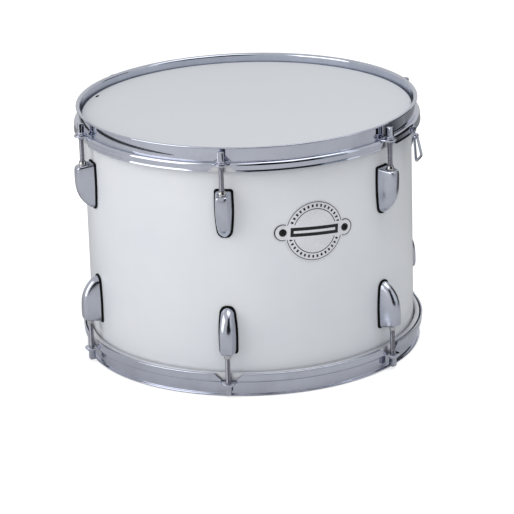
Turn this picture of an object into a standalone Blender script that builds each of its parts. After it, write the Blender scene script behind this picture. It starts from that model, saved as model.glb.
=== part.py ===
"""Marching tenor drum, 14 by 10 inch, standing on its lower rim.

Metres, +Z up. The origin is the middle of the circle on which the drum stands, and the
badge faces -Y. Angles run round the drum from the badge, so a piece at angle a stands at
(r sin a, -r cos a). Both ends of the drum are alike: the pieces of one end are placed in
a frame at mid height, and the lower end uses the same frame turned over about X.
"""

import math

import bmesh
import bpy
from mathutils import Matrix, Vector

# Clearances
GAP = 0.0003               # between solids that touch or nearly touch
THREAD_GAP = 0.0004        # round the rods in the nuts and the hoop ears
COLLAR_GAP = 0.0006        # between the head's collar and the shell
FLESH_GAP = 0.0014         # between the flesh hoop and the shell
WALL_GAP = 0.0024          # between the hoop's wall and the shell
SKIRT_GAP = 0.0009         # between the flesh hoop and the hoop's skirt

# Shell
SHELL_LENGTH = 0.254
SHELL_RADIUS = 0.1778
SHELL_WALL = 0.0074
EDGE_PEAK = 0.0018         # bearing edge, in from the outer face
EDGE_FLAT = 0.0010
EDGE_ROUND = 0.0030        # depth of the outer round-over
VENT_RADIUS = 0.0060
VENT_ANGLE = 180.0

# Heads
FILM = 0.0003
RIM_RISE = 0.0090          # rim above the playing surface
FLESH_WIDTH = 0.0052
FLESH_HEIGHT = 0.0080

# Hoops, pressed from one sheet
SHEET = 0.0018
HOOP_HEIGHT = 0.0260
LIP = 0.0030               # lip beyond the wall
BEND = 0.0012
SHOULDER = 0.0028          # outer bend from the ledge down into the skirt
LEDGE_DROP = 0.0155        # rim to the top of the ledge
NOTCH_AT_LEDGE = 0.0078    # half widths of the gap in the skirt at each ear
NOTCH_AT_EDGE = 0.0160
NOTCH_CORNER = 0.0025      # height of the corner taken off the skirt beside the gap
NOTCH_AT_CORNER = 0.0132
ROD_CLEAR = 0.0024         # skirt to the axis of a rod
EAR_REACH = 0.0075         # ear beyond the axis of its rod
EAR_HALF_WIDTH = 0.0095

# Tension rods
LUG_COUNT = 6
FIRST_LUG_ANGLE = 30.0
ROD_RADIUS = 0.0027
ROD_OVERRUN = 0.0016       # rod past the end of its nut
ROD_CHAMFER = 0.0008
WASHER_RADIUS = 0.0062
WASHER = 0.0011
FLANGE_RADIUS = 0.0047
FLANGE = 0.0016
KEY_SIDE = 0.0062
KEY_HEIGHT = 0.0098

# Swivel nuts: the nose stands out of the casing, whose end wall stops the shoulder
NUT_WALL = 0.0012
NUT_LENGTH = 0.0170        # below the casing's end wall
NOSE_WALL = 0.0010
NOSE_ROOM = 0.0010         # between the nose and its hole, for the nut to swivel
NOSE_REACH = 0.0031        # nose beyond the casing
NOSE_RIM = 0.0004          # width of the nose's flat tip
SHOULDER_STEP = 0.0006     # shoulder beyond the hole
SHOULDER_HEIGHT = 0.0030

# Lugs
LUG_SETBACK = 0.0380       # shell's end to the lug's open end
LUG_LENGTH = 0.0500
LUG_WALL = 0.0016
LUG_SIDE_ROOM = 0.0017     # nut's shoulder to the side walls
LUG_FRONT_ROOM = 0.0014    # nut's shoulder to the front wall
LUG_EDGE = 0.0020          # bevel round the open end
LUG_MIDDLE = 0.42          # widest place, as a share of the length
LUG_STRAIGHT = 0.42        # share of the length before the front falls away
LUG_NOSE = 0.87            # share of the length where the end starts to round
LUG_NARROW = 0.31          # loss of width at the end, before its rounding
LUG_FRONT = 0.76           # width of the front face, as a share of the foot's width
LUG_CORNER = 0.0024        # rounding between the front face and a side
LUG_TIP = 0.0014           # thickness of the casing's thin end
GASKET = 0.0015
GASKET_PROUD = 0.0014      # gasket beyond the casing all round
GASKET_CORNER = 0.0022

# Badge
BADGE_HEIGHT = 0.175
BADGE_ANGLE = 0.5          # a little off the -Y line
BADGE_TURN = 3.5           # clockwise as seen from outside; it isn't screwed on level
BADGE_RADIUS = 0.0328
BADGE_SHEET = 0.0008
BADGE_EAR_RADIUS = 0.0088
BADGE_SCREW_SPACING = 0.0700
BADGE_SCREW_RADIUS = 0.0040
BADGE_SCREW_HEIGHT = 0.0012

# Sling fittings on the upper hoop
SLING_ANGLES = (48.0, 132.0)
BRACKET_WIDTH = 0.0120
BRACKET_SHEET = 0.0016
BARREL_LENGTH = 0.0040
BARREL_WALL = 0.0012
BOLT_RADIUS = 0.0030
BOLT_HEIGHT = 0.0018
RING_WIRE_RADIUS = 0.0014
RING_HEIGHT = 0.0250
RING_TOP_HALF = 0.0048
RING_LOW_HALF = 0.0098
RING_CORNER = 0.0020
RING_LEAN = 8.0            # degrees outwards, as it hangs

# Facets
TURN_STEPS = 54            # round the drum
SMALL_STEPS = 10           # round a rod or a nut
LUG_STATIONS = (0.22, 0.42, 0.60, 0.75, 0.86, 0.93, 0.98)
HOLLOW_STATIONS = (0.42, 0.70, 0.86, 0.96)
GASKET_STATIONS = (0.0, 0.042, 0.22, 0.42, 0.60, 0.75, 0.86, 0.92, 0.96, 0.99)
LUG_POINTS = 8

# Worked out across the drum
FLESH_INNER = SHELL_RADIUS + FLESH_GAP
FLESH_OUTER = FLESH_INNER + FLESH_WIDTH
WALL_INNER = SHELL_RADIUS + WALL_GAP
WALL_OUTER = WALL_INNER + SHEET
SKIRT_INNER = FLESH_OUTER + SKIRT_GAP
SKIRT_OUTER = SKIRT_INNER + SHEET
ROD_CIRCLE = SKIRT_OUTER + ROD_CLEAR
NUT_BORE = ROD_RADIUS + THREAD_GAP
NUT_BARREL = NUT_BORE + NUT_WALL
NUT_NOSE = NUT_BORE + NOSE_WALL
NUT_HOLE = NUT_NOSE + NOSE_ROOM
NUT_SHOULDER = NUT_HOLE + SHOULDER_STEP
GASKET_BACK = SHELL_RADIUS + GAP
LUG_BACK = GASKET_BACK + GASKET + GAP
LUG_REACH = ROD_CIRCLE - LUG_BACK + NUT_SHOULDER + LUG_FRONT_ROOM + LUG_WALL
LUG_HALF = NUT_SHOULDER + LUG_SIDE_ROOM + LUG_WALL

# Worked out along the drum, from mid height
SHELL_END = SHELL_LENGTH / 2
FILM_LOW = SHELL_END + GAP
FILM_TOP = FILM_LOW + FILM
RIM = FILM_TOP + RIM_RISE
LEDGE_TOP = RIM - LEDGE_DROP
LEDGE_LOW = LEDGE_TOP - SHEET
SKIRT_LOW = RIM - HOOP_HEIGHT
FLANGE_TOP = LEDGE_LOW - GAP
FLANGE_LOW = FLANGE_TOP - FILM
FLESH_TOP = FLANGE_LOW - GAP
WASHER_LOW = LEDGE_TOP + GAP
LUG_OPEN = SHELL_END - LUG_SETBACK
NUT_SEAT = LUG_OPEN - LUG_WALL - GAP
NUT_LOW = NUT_SEAT - NUT_LENGTH
ROD_TIP = NUT_LOW - ROD_OVERRUN

SOLIDS = "tenor_drum"
CUTTERS = "cutters"


def clear_scene():
    for item in list(bpy.data.objects):
        bpy.data.objects.remove(item, do_unlink=True)
    for name in (SOLIDS, CUTTERS):
        collection = bpy.data.collections.new(name)
        bpy.context.scene.collection.children.link(collection)


def material(name, colour, roughness, metallic):
    finish = bpy.data.materials.new(name)
    finish.use_nodes = True
    shader = finish.node_tree.nodes["Principled BSDF"]
    shader.inputs["Base Color"].default_value = (*colour, 1.0)
    shader.inputs["Roughness"].default_value = roughness
    shader.inputs["Metallic"].default_value = metallic
    finish.diffuse_color = (*colour, 1.0)
    return finish


def working(mesh, name):
    """Object for a shape that is still being made."""
    item = bpy.data.objects.new(name, mesh)
    bpy.data.collections[CUTTERS].objects.link(item)
    item.hide_render = True
    item.display_type = "WIRE"
    return item


def frozen(item, name):
    """Mesh of an object as its modifiers leave it; the object is removed."""
    graph = bpy.context.evaluated_depsgraph_get()
    mesh = bpy.data.meshes.new_from_object(item.evaluated_get(graph))
    mesh.transform(item.matrix_world)
    mesh.name = name
    bpy.data.objects.remove(item, do_unlink=True)
    return mesh


def welded(mesh):
    cage = bmesh.new()
    cage.from_mesh(mesh)
    bmesh.ops.remove_doubles(cage, verts=cage.verts, dist=0.00001)
    bmesh.ops.recalc_face_normals(cage, faces=cage.faces)
    cage.to_mesh(mesh)
    cage.free()
    return mesh


def joined(meshes, name):
    """One mesh of several separate shapes, to cut or add them in one step."""
    cage = bmesh.new()
    for mesh in meshes:
        cage.from_mesh(mesh)
    result = bpy.data.meshes.new(name)
    cage.to_mesh(result)
    cage.free()
    return result


def combined(mesh, tool, operation, name):
    base = working(mesh, name)
    cutter = working(tool, name + "_tool")
    step = base.modifiers.new(operation, "BOOLEAN")
    step.operation = operation
    step.solver = "EXACT"
    step.object = cutter
    result = frozen(base, name)
    bpy.data.objects.remove(cutter, do_unlink=True)
    return result


def place(name, mesh, finish, parent, location=(0, 0, 0), turn=0.0, sharp=35.0):
    mesh = mesh.copy()
    mesh.name = name
    mesh.materials.clear()
    mesh.materials.append(finish)
    mesh.shade_smooth()
    mesh.set_sharp_from_angle(angle=math.radians(sharp))
    item = bpy.data.objects.new(name, mesh)
    bpy.data.collections[SOLIDS].objects.link(item)
    item.parent = parent
    item.location = location
    item.rotation_euler = (0, 0, math.radians(turn))
    return item


def turned(name, profile, steps, closed):
    """Turn a profile of (radius, height) points, which runs down its outer side."""
    mesh = bpy.data.meshes.new(name)
    points = [(radius, 0, height) for radius, height in profile]
    edges = [(index, index + 1) for index in range(len(points) - 1)]
    if closed:
        edges.append((len(points) - 1, 0))
    mesh.from_pydata(points, edges, [])
    item = working(mesh, name)
    screw = item.modifiers.new("turn", "SCREW")
    screw.steps = steps
    screw.render_steps = steps
    screw.use_merge_vertices = True
    screw.merge_threshold = 0.00001
    return welded(frozen(item, name))


def cylinder(name, radius, depth, steps=SMALL_STEPS):
    cage = bmesh.new()
    bmesh.ops.create_cone(cage, cap_ends=True, segments=steps, radius1=radius,
                          radius2=radius, depth=depth)
    mesh = bpy.data.meshes.new(name)
    cage.to_mesh(mesh)
    cage.free()
    return mesh


def box(name, width, depth, height):
    cage = bmesh.new()
    bmesh.ops.create_cube(cage, size=1.0)
    bmesh.ops.scale(cage, verts=cage.verts, vec=(width, depth, height))
    mesh = bpy.data.meshes.new(name)
    cage.to_mesh(mesh)
    cage.free()
    return mesh


def moved(mesh, matrix):
    mesh.transform(matrix)
    return mesh


def outline_plate(name, points, thickness):
    """Flat plate of a closed outline in XY, its middle plane at z = 0."""
    curve = bpy.data.curves.new(name, "CURVE")
    curve.dimensions = "2D"
    curve.fill_mode = "BOTH"
    curve.extrude = thickness / 2
    spline = curve.splines.new("POLY")
    spline.points.add(len(points) - 1)
    for point, (x, y) in zip(spline.points, points):
        point.co = (x, y, 0, 1)
    spline.use_cyclic_u = True
    return welded(frozen(working(curve, name), name))


def at_angle(angle, radius, height):
    a = math.radians(angle)
    return (radius * math.sin(a), -radius * math.cos(a), height)


def around(angle):
    return Matrix.Rotation(math.radians(angle), 4, "Z")


def arc(centre, radius, start, end, count):
    """Points on an arc, angles in degrees from +X."""
    points = []
    for index in range(count + 1):
        a = math.radians(start + (end - start) * index / count)
        points.append((centre[0] + radius * math.cos(a), centre[1] + radius * math.sin(a)))
    return points


def lug_angles():
    return [FIRST_LUG_ANGLE + index * 360.0 / LUG_COUNT for index in range(LUG_COUNT)]


def shell_mesh():
    inner = SHELL_RADIUS - SHELL_WALL
    peak = SHELL_RADIUS - EDGE_PEAK
    bevel = peak - EDGE_FLAT - inner
    upper = [(inner, SHELL_END - bevel), (peak - EDGE_FLAT, SHELL_END), (peak, SHELL_END),
             (SHELL_RADIUS, SHELL_END - EDGE_ROUND)]
    lower = [(radius, -height) for radius, height in reversed(upper)]
    ring = turned("shell", upper + lower, TURN_STEPS, True)
    vent = cylinder("vent", VENT_RADIUS, 4 * SHELL_WALL)
    vent.transform(Matrix.Rotation(math.radians(90), 4, "X"))
    middle = SHELL_RADIUS - SHELL_WALL / 2
    vent.transform(around(VENT_ANGLE) @ Matrix.Translation((0, -middle, 0)))
    return combined(ring, vent, "DIFFERENCE", "shell")


def head_mesh():
    """Film, its collar and the part of it that is gripped over the flesh hoop."""
    collar = SHELL_RADIUS + COLLAR_GAP
    peak = SHELL_RADIUS - EDGE_PEAK
    grip = FLESH_OUTER - FILM
    profile = [
        (0, FILM_TOP),
        (peak + FILM, FILM_TOP),
        (collar + FILM, FILM_TOP - EDGE_ROUND),
        (FLESH_INNER + FILM, FLANGE_TOP),
        (grip, FLANGE_TOP),
        (grip, FLANGE_LOW),
        (FLESH_INNER, FLANGE_LOW),
        (collar, FILM_LOW - EDGE_ROUND),
        (peak, FILM_LOW),
        (0, FILM_LOW),
    ]
    return turned("head", profile, TURN_STEPS, False)


def flesh_hoop_mesh():
    profile = [
        (FLESH_OUTER, FLESH_TOP),
        (FLESH_OUTER, FLESH_TOP - FLESH_HEIGHT),
        (FLESH_INNER, FLESH_TOP - FLESH_HEIGHT),
        (FLESH_INNER, FLESH_TOP),
    ]
    return turned("flesh_hoop", profile, TURN_STEPS, True)


def hoop_section():
    lip_outer = WALL_OUTER + LIP
    shoulder = arc((SKIRT_OUTER - SHOULDER, LEDGE_TOP - SHOULDER), SHOULDER, 90, 0, 3)
    return [
        (lip_outer - BEND / 2, RIM),
        (lip_outer, RIM - BEND / 2),
        (lip_outer - BEND / 4, RIM - SHEET),
        (WALL_OUTER, RIM - SHEET - BEND),
        (WALL_OUTER, LEDGE_TOP + BEND),
        (WALL_OUTER + BEND, LEDGE_TOP),
    ] + shoulder + [
        (SKIRT_OUTER, SKIRT_LOW),
        (SKIRT_INNER, SKIRT_LOW),
        (SKIRT_INNER, LEDGE_LOW),
        (WALL_INNER, LEDGE_LOW),
        (WALL_INNER, RIM - BEND),
        (WALL_INNER + BEND, RIM),
    ]


def ear_plate():
    """Tab of the ledge that carries a rod, at angle 0."""
    step = 0.00005         # stands clear of the ledge's faces, so that the two join cleanly
    root = -(SKIRT_INNER - 2 * BEND)
    side = arc((0, -ROD_CIRCLE), EAR_REACH, 180, 360, 8)
    points = [(-EAR_HALF_WIDTH, root)] + side + [(EAR_HALF_WIDTH, root)]
    plate = outline_plate("ear", points, SHEET + 2 * step)
    return moved(plate, Matrix.Translation((0, 0, (LEDGE_TOP + LEDGE_LOW) / 2)))


def notch_block():
    """Gap in the skirt at an ear, wider at the free edge, at angle 0."""
    top = LEDGE_LOW + SHEET / 2
    low = SKIRT_LOW - SHEET
    corner = SKIRT_LOW + NOTCH_CORNER
    spread = (NOTCH_AT_CORNER - NOTCH_AT_LEDGE) / (LEDGE_LOW - corner)
    top_half = NOTCH_AT_LEDGE - spread * SHEET / 2
    inner = SKIRT_INNER - BEND
    outer = SKIRT_OUTER + BEND + EAR_REACH
    right = [(top_half, top), (NOTCH_AT_CORNER, corner), (NOTCH_AT_EDGE, SKIRT_LOW),
             (NOTCH_AT_EDGE, low)]
    points = [(-x, height) for x, height in right] + list(reversed(right))
    plate = outline_plate("notch", points, outer - inner)
    plate.transform(Matrix.Rotation(math.radians(90), 4, "X"))
    return moved(plate, Matrix.Translation((0, -(inner + outer) / 2, 0)))


def hoop_mesh():
    ring = turned("hoop", hoop_section(), TURN_STEPS, True)
    notches = []
    ears = []
    holes = []
    for angle in lug_angles():
        notches.append(moved(notch_block(), around(angle)))
        ears.append(moved(ear_plate(), around(angle)))
        hole = cylinder("hole", ROD_RADIUS + THREAD_GAP, 4 * SHEET)
        where = around(angle) @ Matrix.Translation((0, -ROD_CIRCLE, LEDGE_TOP))
        holes.append(moved(hole, where))
    ring = combined(ring, joined(notches, "notches"), "DIFFERENCE", "hoop")
    ring = combined(ring, joined(ears, "ears"), "UNION", "hoop")
    return combined(ring, joined(holes, "holes"), "DIFFERENCE", "hoop")


def rod_mesh():
    """Threaded rod with its washer and square key head, on its own axis."""
    washer_top = WASHER_LOW + WASHER
    flange_top = washer_top + FLANGE
    profile = [
        (0, flange_top),
        (FLANGE_RADIUS, flange_top),
        (FLANGE_RADIUS, washer_top),
        (WASHER_RADIUS, washer_top),
        (WASHER_RADIUS, WASHER_LOW),
        (ROD_RADIUS, WASHER_LOW),
        (ROD_RADIUS, ROD_TIP + ROD_CHAMFER),
        (ROD_RADIUS - ROD_CHAMFER, ROD_TIP),
        (0, ROD_TIP),
    ]
    body = turned("rod", profile, SMALL_STEPS, False)
    sunk = FLANGE / 2
    key = box("key", KEY_SIDE, KEY_SIDE, KEY_HEIGHT + sunk)
    key.transform(Matrix.Translation((0, 0, flange_top + (KEY_HEIGHT - sunk) / 2)))
    return combined(body, key, "UNION", "rod")


def nut_mesh():
    tip = LUG_OPEN + NOSE_REACH
    profile = [
        (NUT_BORE + NOSE_RIM, tip),
        (NUT_NOSE, LUG_OPEN + GAP),
        (NUT_NOSE, NUT_SEAT),
        (NUT_SHOULDER, NUT_SEAT),
        (NUT_SHOULDER, NUT_SEAT - SHOULDER_HEIGHT),
        (NUT_BARREL, NUT_SEAT - SHOULDER_HEIGHT),
        (NUT_BARREL, NUT_LOW),
        (NUT_BORE, NUT_LOW),
        (NUT_BORE, tip),
    ]
    return turned("nut", profile, SMALL_STEPS, True)


def lug_half_width(share):
    if share < LUG_MIDDLE:
        return LUG_HALF * (1 - 0.05 * ((LUG_MIDDLE - share) / LUG_MIDDLE) ** 2)
    u = (share - LUG_MIDDLE) / (1 - LUG_MIDDLE)
    half = LUG_HALF * (1 - LUG_NARROW * u ** 1.7)
    v = max(0.0, (share - LUG_NOSE) / (1 - LUG_NOSE))
    return half * math.sqrt(max(0.0, 1 - v * v))


def lug_reach(share):
    if share < LUG_STRAIGHT:
        return LUG_REACH
    u = (share - LUG_STRAIGHT) / (1 - LUG_STRAIGHT)
    return LUG_TIP + (LUG_REACH - LUG_TIP) * max(0.0, 1 - u * u) ** 0.75


def lug_ring(cage, half, reach, back, height, points):
    """One level of the casing: flat sides that lean in, rounded corners, a flat front."""
    front = half * LUG_FRONT
    lean = Vector((half - front, back - reach))
    trim = min(LUG_CORNER, 0.5 * front, 0.45 * lean.length)
    corner = Vector((front, reach))
    start = corner + lean.normalized() * trim
    end = Vector((front - trim, reach))
    count = points // 2 - 1
    side = [(half, back)]
    for index in range(count):
        t = index / (count - 1)
        blend = start * (1 - t) ** 2 + corner * 2 * t * (1 - t) + end * t ** 2
        side.append((blend.x, blend.y))
    outline = side + [(0, reach)] + [(-x, y) for x, y in reversed(side)]
    return [cage.verts.new((x, -y, height)) for x, y in outline]


def lug_form(name, inset, back, edge, stations, points):
    """Loft of the casing, drawn in by inset, with its open end bevelled by edge."""
    cage = bmesh.new()
    length = LUG_LENGTH - 2 * inset
    half = lug_half_width(0) - inset
    reach = lug_reach(0) - inset
    rings = [
        lug_ring(cage, half - edge / 3, reach - edge, back, -inset, points),
        lug_ring(cage, half, reach, back, -inset - edge, points),
    ]
    for share in stations:
        half = max(lug_half_width(share) - inset, NUT_WALL / 2)
        reach = max(lug_reach(share) - inset, back + NUT_WALL / 2)
        rings.append(lug_ring(cage, half, reach, back, -inset - share * length, points))
    for upper, lower in zip(rings, rings[1:]):
        for index in range(points):
            cage.faces.new((upper[index], upper[index + 1], lower[index + 1], lower[index]))
        cage.faces.new((upper[points], upper[0], lower[0], lower[points]))
    cage.faces.new(rings[0])
    cage.faces.new(rings[-1])
    bmesh.ops.recalc_face_normals(cage, faces=cage.faces)
    mesh = bpy.data.meshes.new(name)
    cage.to_mesh(mesh)
    cage.free()
    return mesh


def lug_mesh():
    """Hollow casting, open at the back, with the nut's hole in its flat end."""
    casing = lug_form("lug", 0.0, 0.0, LUG_EDGE, LUG_STATIONS, LUG_POINTS)
    hollow = lug_form("lug_hollow", LUG_WALL, -LUG_WALL, LUG_EDGE / 3, HOLLOW_STATIONS,
                      LUG_POINTS - 2)
    casing = combined(casing, hollow, "DIFFERENCE", "lug")
    hole = cylinder("nut_hole", NUT_HOLE, 3 * LUG_WALL)
    hole.transform(Matrix.Translation((0, -(ROD_CIRCLE - LUG_BACK), 0)))
    return combined(casing, hole, "DIFFERENCE", "lug")


def gasket_mesh():
    """Flat gasket that follows the casing's foot and shows all round it."""
    right = []
    for share in GASKET_STATIONS:
        length = LUG_LENGTH + 2 * GASKET_PROUD
        half = lug_half_width(share) + GASKET_PROUD
        if share == 0.0:
            half -= GASKET_CORNER
        right.append((half, GASKET_PROUD - share * length))
    left = [(-x, height) for x, height in reversed(right)]
    plate = outline_plate("gasket", right + left, GASKET)
    plate.transform(Matrix.Rotation(math.radians(90), 4, "X"))
    return moved(plate, Matrix.Translation((0, -GASKET / 2, 0)))


def badge_mesh():
    """Thin plate bent to the shell, with an ear and a screw at each side."""
    inner = SHELL_RADIUS + GAP
    outer = inner + BADGE_SHEET
    tall = BADGE_RADIUS * 3
    profile = [(outer, tall / 2), (outer, -tall / 2), (inner, -tall / 2), (inner, tall / 2)]
    band = turned("badge_band", profile, TURN_STEPS * 2, True)
    ear_x = BADGE_SCREW_SPACING / 2
    side = 2 * outer
    disc = cylinder("badge_disc", BADGE_RADIUS, side, 36)
    tools = [disc]
    for x in (-ear_x, ear_x):
        ear = cylinder("badge_ear", BADGE_EAR_RADIUS, side, 18)
        tools.append(moved(ear, Matrix.Translation((x, 0, 0))))
    outline = tools[0]
    for ear in tools[1:]:
        outline = combined(outline, ear, "UNION", "badge_outline")
    outline.transform(Matrix.Rotation(math.radians(-BADGE_TURN), 4, "Z"))
    outline.transform(Matrix.Rotation(math.radians(90), 4, "X"))
    outline.transform(Matrix.Translation((0, -side / 2, 0)))
    plate = combined(band, outline, "INTERSECT", "badge")
    for sign in (-1, 1):
        across = ear_x * math.cos(math.radians(BADGE_TURN))
        fall = ear_x * math.sin(math.radians(BADGE_TURN))
        angle = sign * math.degrees(math.asin(across / outer))
        screw = cylinder("badge_screw", BADGE_SCREW_RADIUS, BADGE_SHEET + BADGE_SCREW_HEIGHT)
        screw.transform(Matrix.Rotation(math.radians(90), 4, "X"))
        middle = inner + (BADGE_SHEET + BADGE_SCREW_HEIGHT) / 2 + BADGE_SHEET / 4
        screw.transform(around(angle) @ Matrix.Translation((0, -middle, -sign * fall)))
        plate = combined(plate, screw, "UNION", "badge")
    return plate


def barrel_radius():
    return RING_WIRE_RADIUS + THREAD_GAP + BARREL_WALL


def ring_axis():
    """Radius and height of the axis on which a sling ring swings."""
    return SKIRT_OUTER + GAP + barrel_radius(), SKIRT_LOW - barrel_radius()


def bracket_mesh():
    """Plate on the skirt, bolted through it, with a barrel rolled at its foot."""
    axis_radius, axis_height = ring_axis()
    back = SKIRT_OUTER + GAP
    top = LEDGE_TOP - SHOULDER
    plate_height = top - axis_height
    plate = box("bracket", BRACKET_WIDTH, BRACKET_SHEET, plate_height)
    plate.transform(Matrix.Translation((0, -(back + BRACKET_SHEET / 2), (top + axis_height) / 2)))
    barrel = cylinder("barrel", barrel_radius(), BARREL_LENGTH, 16)
    barrel.transform(Matrix.Rotation(math.radians(90), 4, "Y"))
    barrel.transform(Matrix.Translation((0, -axis_radius, axis_height)))
    bolt = cylinder("bolt", BOLT_RADIUS, BOLT_HEIGHT + BRACKET_SHEET / 2, 6)
    bolt.transform(Matrix.Rotation(math.radians(90), 4, "X"))
    middle = back + BRACKET_SHEET + (BOLT_HEIGHT - BRACKET_SHEET / 2) / 2
    bolt.transform(Matrix.Translation((0, -middle, (SKIRT_LOW + top) / 2 + BEND / 2)))
    corner = box("corner", BRACKET_WIDTH, 4 * BRACKET_SHEET, plate_height)
    bore = cylinder("bore", RING_WIRE_RADIUS + THREAD_GAP, 2 * BRACKET_WIDTH, 16)
    bore.transform(Matrix.Rotation(math.radians(90), 4, "Y"))
    bore.transform(Matrix.Translation((0, -axis_radius, axis_height)))
    shoulders = []
    for sign in (-1, 1):
        shoulder = corner.copy()
        drop = SKIRT_LOW - plate_height / 2
        shift = sign * (BARREL_LENGTH + BRACKET_WIDTH) / 2
        shoulder.transform(Matrix.Translation((shift, -back, drop)))
        shoulders.append(shoulder)
    mesh = combined(plate, joined(shoulders, "shoulders"), "DIFFERENCE", "bracket")
    mesh = combined(mesh, barrel, "UNION", "bracket")
    mesh = combined(mesh, bore, "DIFFERENCE", "bracket")
    return combined(mesh, bolt, "UNION", "bracket")


def ring_mesh():
    """Closed wire loop, narrow at the axis and wider below, about its own axis."""
    low = -RING_HEIGHT
    corner = RING_CORNER
    points = arc((RING_TOP_HALF - corner, -corner), corner, 90, 10, 3)
    points += arc((RING_LOW_HALF - corner, low + corner), corner, 10, -90, 3)
    points += [(-x, height) for x, height in reversed(points)]
    curve = bpy.data.curves.new("ring", "CURVE")
    curve.dimensions = "3D"
    curve.bevel_depth = RING_WIRE_RADIUS
    curve.bevel_resolution = 2
    spline = curve.splines.new("POLY")
    spline.points.add(len(points) - 1)
    for point, (x, height) in zip(spline.points, points):
        point.co = (x, 0, height, 1)
    spline.use_cyclic_u = True
    ring = welded(frozen(working(curve, "ring"), "ring"))
    return moved(ring, Matrix.Rotation(math.radians(-RING_LEAN), 4, "X"))


def end_frame(name, flipped):
    """Empty at mid height; the lower end's is turned over about X."""
    empty = bpy.data.objects.new(name, None)
    bpy.data.collections[SOLIDS].objects.link(empty)
    empty.location = (0, 0, RIM)
    empty.rotation_euler = (math.pi if flipped else 0, 0, 0)
    return empty


def build_end(end, frame, meshes, finishes):
    """Head, hoop and tensioning of one end; angle numbers match at both ends."""
    lower = end == "bottom"
    head = "resonant" if lower else "batter"
    place(head + "_head", meshes["head"], finishes["film"], frame)
    place(head + "_flesh_hoop", meshes["flesh"], finishes["aluminium"], frame)
    place(end + "_hoop", meshes["hoop"], finishes["chrome"], frame)
    for index, angle in enumerate(lug_angles()):
        local = 180 - angle if lower else angle
        number = str(index + 1)
        on_axis = at_angle(local, ROD_CIRCLE, 0)
        place(end + "_tension_rod_" + number, meshes["rod"], finishes["steel"], frame,
              on_axis, local)
        place(end + "_swivel_nut_" + number, meshes["nut"], finishes["brass"], frame,
              on_axis, local)
        place(end + "_lug_casing_" + number, meshes["lug"], finishes["chrome"], frame,
              at_angle(local, LUG_BACK, LUG_OPEN), local, 45.0)
        place(end + "_lug_gasket_" + number, meshes["gasket"], finishes["rubber"], frame,
              at_angle(local, GASKET_BACK, LUG_OPEN), local)


def main():
    clear_scene()
    finishes = {
        "white": material("white_shell", (0.80, 0.81, 0.83), 0.30, 0.0),
        "film": material("coated_film", (0.70, 0.72, 0.74), 0.55, 0.0),
        "aluminium": material("aluminium", (0.70, 0.70, 0.72), 0.40, 1.0),
        "chrome": material("chrome", (0.62, 0.63, 0.67), 0.12, 1.0),
        "steel": material("rod_steel", (0.55, 0.55, 0.60), 0.25, 1.0),
        "brass": material("plated_brass", (0.66, 0.62, 0.55), 0.25, 1.0),
        "rubber": material("gasket_rubber", (0.02, 0.02, 0.02), 0.60, 0.0),
        "badge": material("badge_foil", (0.78, 0.79, 0.83), 0.30, 0.6),
    }
    meshes = {
        "head": head_mesh(),
        "flesh": flesh_hoop_mesh(),
        "hoop": hoop_mesh(),
        "rod": rod_mesh(),
        "nut": nut_mesh(),
        "lug": lug_mesh(),
        "gasket": gasket_mesh(),
    }
    upper = end_frame("upper_end", False)
    lower = end_frame("lower_end", True)
    place("shell", shell_mesh(), finishes["white"], upper)
    build_end("top", upper, meshes, finishes)
    build_end("bottom", lower, meshes, finishes)
    place("badge", badge_mesh(), finishes["badge"], upper, (0, 0, BADGE_HEIGHT - RIM),
          BADGE_ANGLE)
    bracket = bracket_mesh()
    ring = ring_mesh()
    axis_radius, axis_height = ring_axis()
    for index, angle in enumerate(SLING_ANGLES):
        number = str(index + 1)
        place("sling_bracket_" + number, bracket, finishes["chrome"], upper, (0, 0, 0), angle)
        place("sling_ring_" + number, ring, finishes["chrome"], upper,
              at_angle(angle, axis_radius, axis_height), angle)
    print("height", round(2 * RIM, 5), "rod circle", round(ROD_CIRCLE, 5),
          "lug outer radius", round(LUG_BACK + LUG_REACH, 5))


main()
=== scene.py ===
# %% [markdown]
# # A marching tenor drum in chrome and white
#
# A drum is a stack of rings round one axis: a shell, two heads, two hoops, and the rods that pull
# the hoops towards each other. Each piece here is made for one place at the upper end of the drum
# and then set down at the other places by a turn about the axis or a turn over about X. The packed
# model gives every piece its place and the body that it moves with.

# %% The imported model
from math import asin, cos, degrees, pi, radians, sin, sqrt

import bmesh
import bpy
from mathutils import Matrix, Vector


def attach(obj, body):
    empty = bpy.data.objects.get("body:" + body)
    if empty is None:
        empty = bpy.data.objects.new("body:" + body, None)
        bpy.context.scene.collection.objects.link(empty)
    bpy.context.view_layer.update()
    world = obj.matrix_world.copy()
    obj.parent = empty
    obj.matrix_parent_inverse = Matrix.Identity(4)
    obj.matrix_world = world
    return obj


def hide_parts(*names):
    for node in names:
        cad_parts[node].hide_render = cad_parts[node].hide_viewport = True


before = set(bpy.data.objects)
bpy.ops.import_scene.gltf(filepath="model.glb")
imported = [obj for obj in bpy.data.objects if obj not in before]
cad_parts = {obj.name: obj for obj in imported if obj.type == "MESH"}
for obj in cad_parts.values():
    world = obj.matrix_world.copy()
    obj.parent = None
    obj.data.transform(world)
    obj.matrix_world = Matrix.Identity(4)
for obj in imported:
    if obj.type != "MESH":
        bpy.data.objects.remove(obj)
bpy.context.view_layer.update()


def add(name, data):
    """A new object for a mesh, a camera or a lamp, put in the scene."""
    item = bpy.data.objects.new(name, data)
    bpy.context.scene.collection.objects.link(item)
    return item


def towards(azimuth, height):
    """The direction of something seen from the drum; 0 is the front and 90 the right."""
    a, e = radians(azimuth), radians(height)
    return Vector((sin(a) * cos(e), -cos(a) * cos(e), sin(e)))


# %% [markdown]
# The camera comes first, because the rest is judged through it. The real one was a long lens about
# three metres away, a little above the rim and turned slightly about its own axis, so the far edge
# of the drum is nearly as wide as the near one. The three axes of the camera are worked out as
# vectors here instead of being turned by hand.

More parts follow.
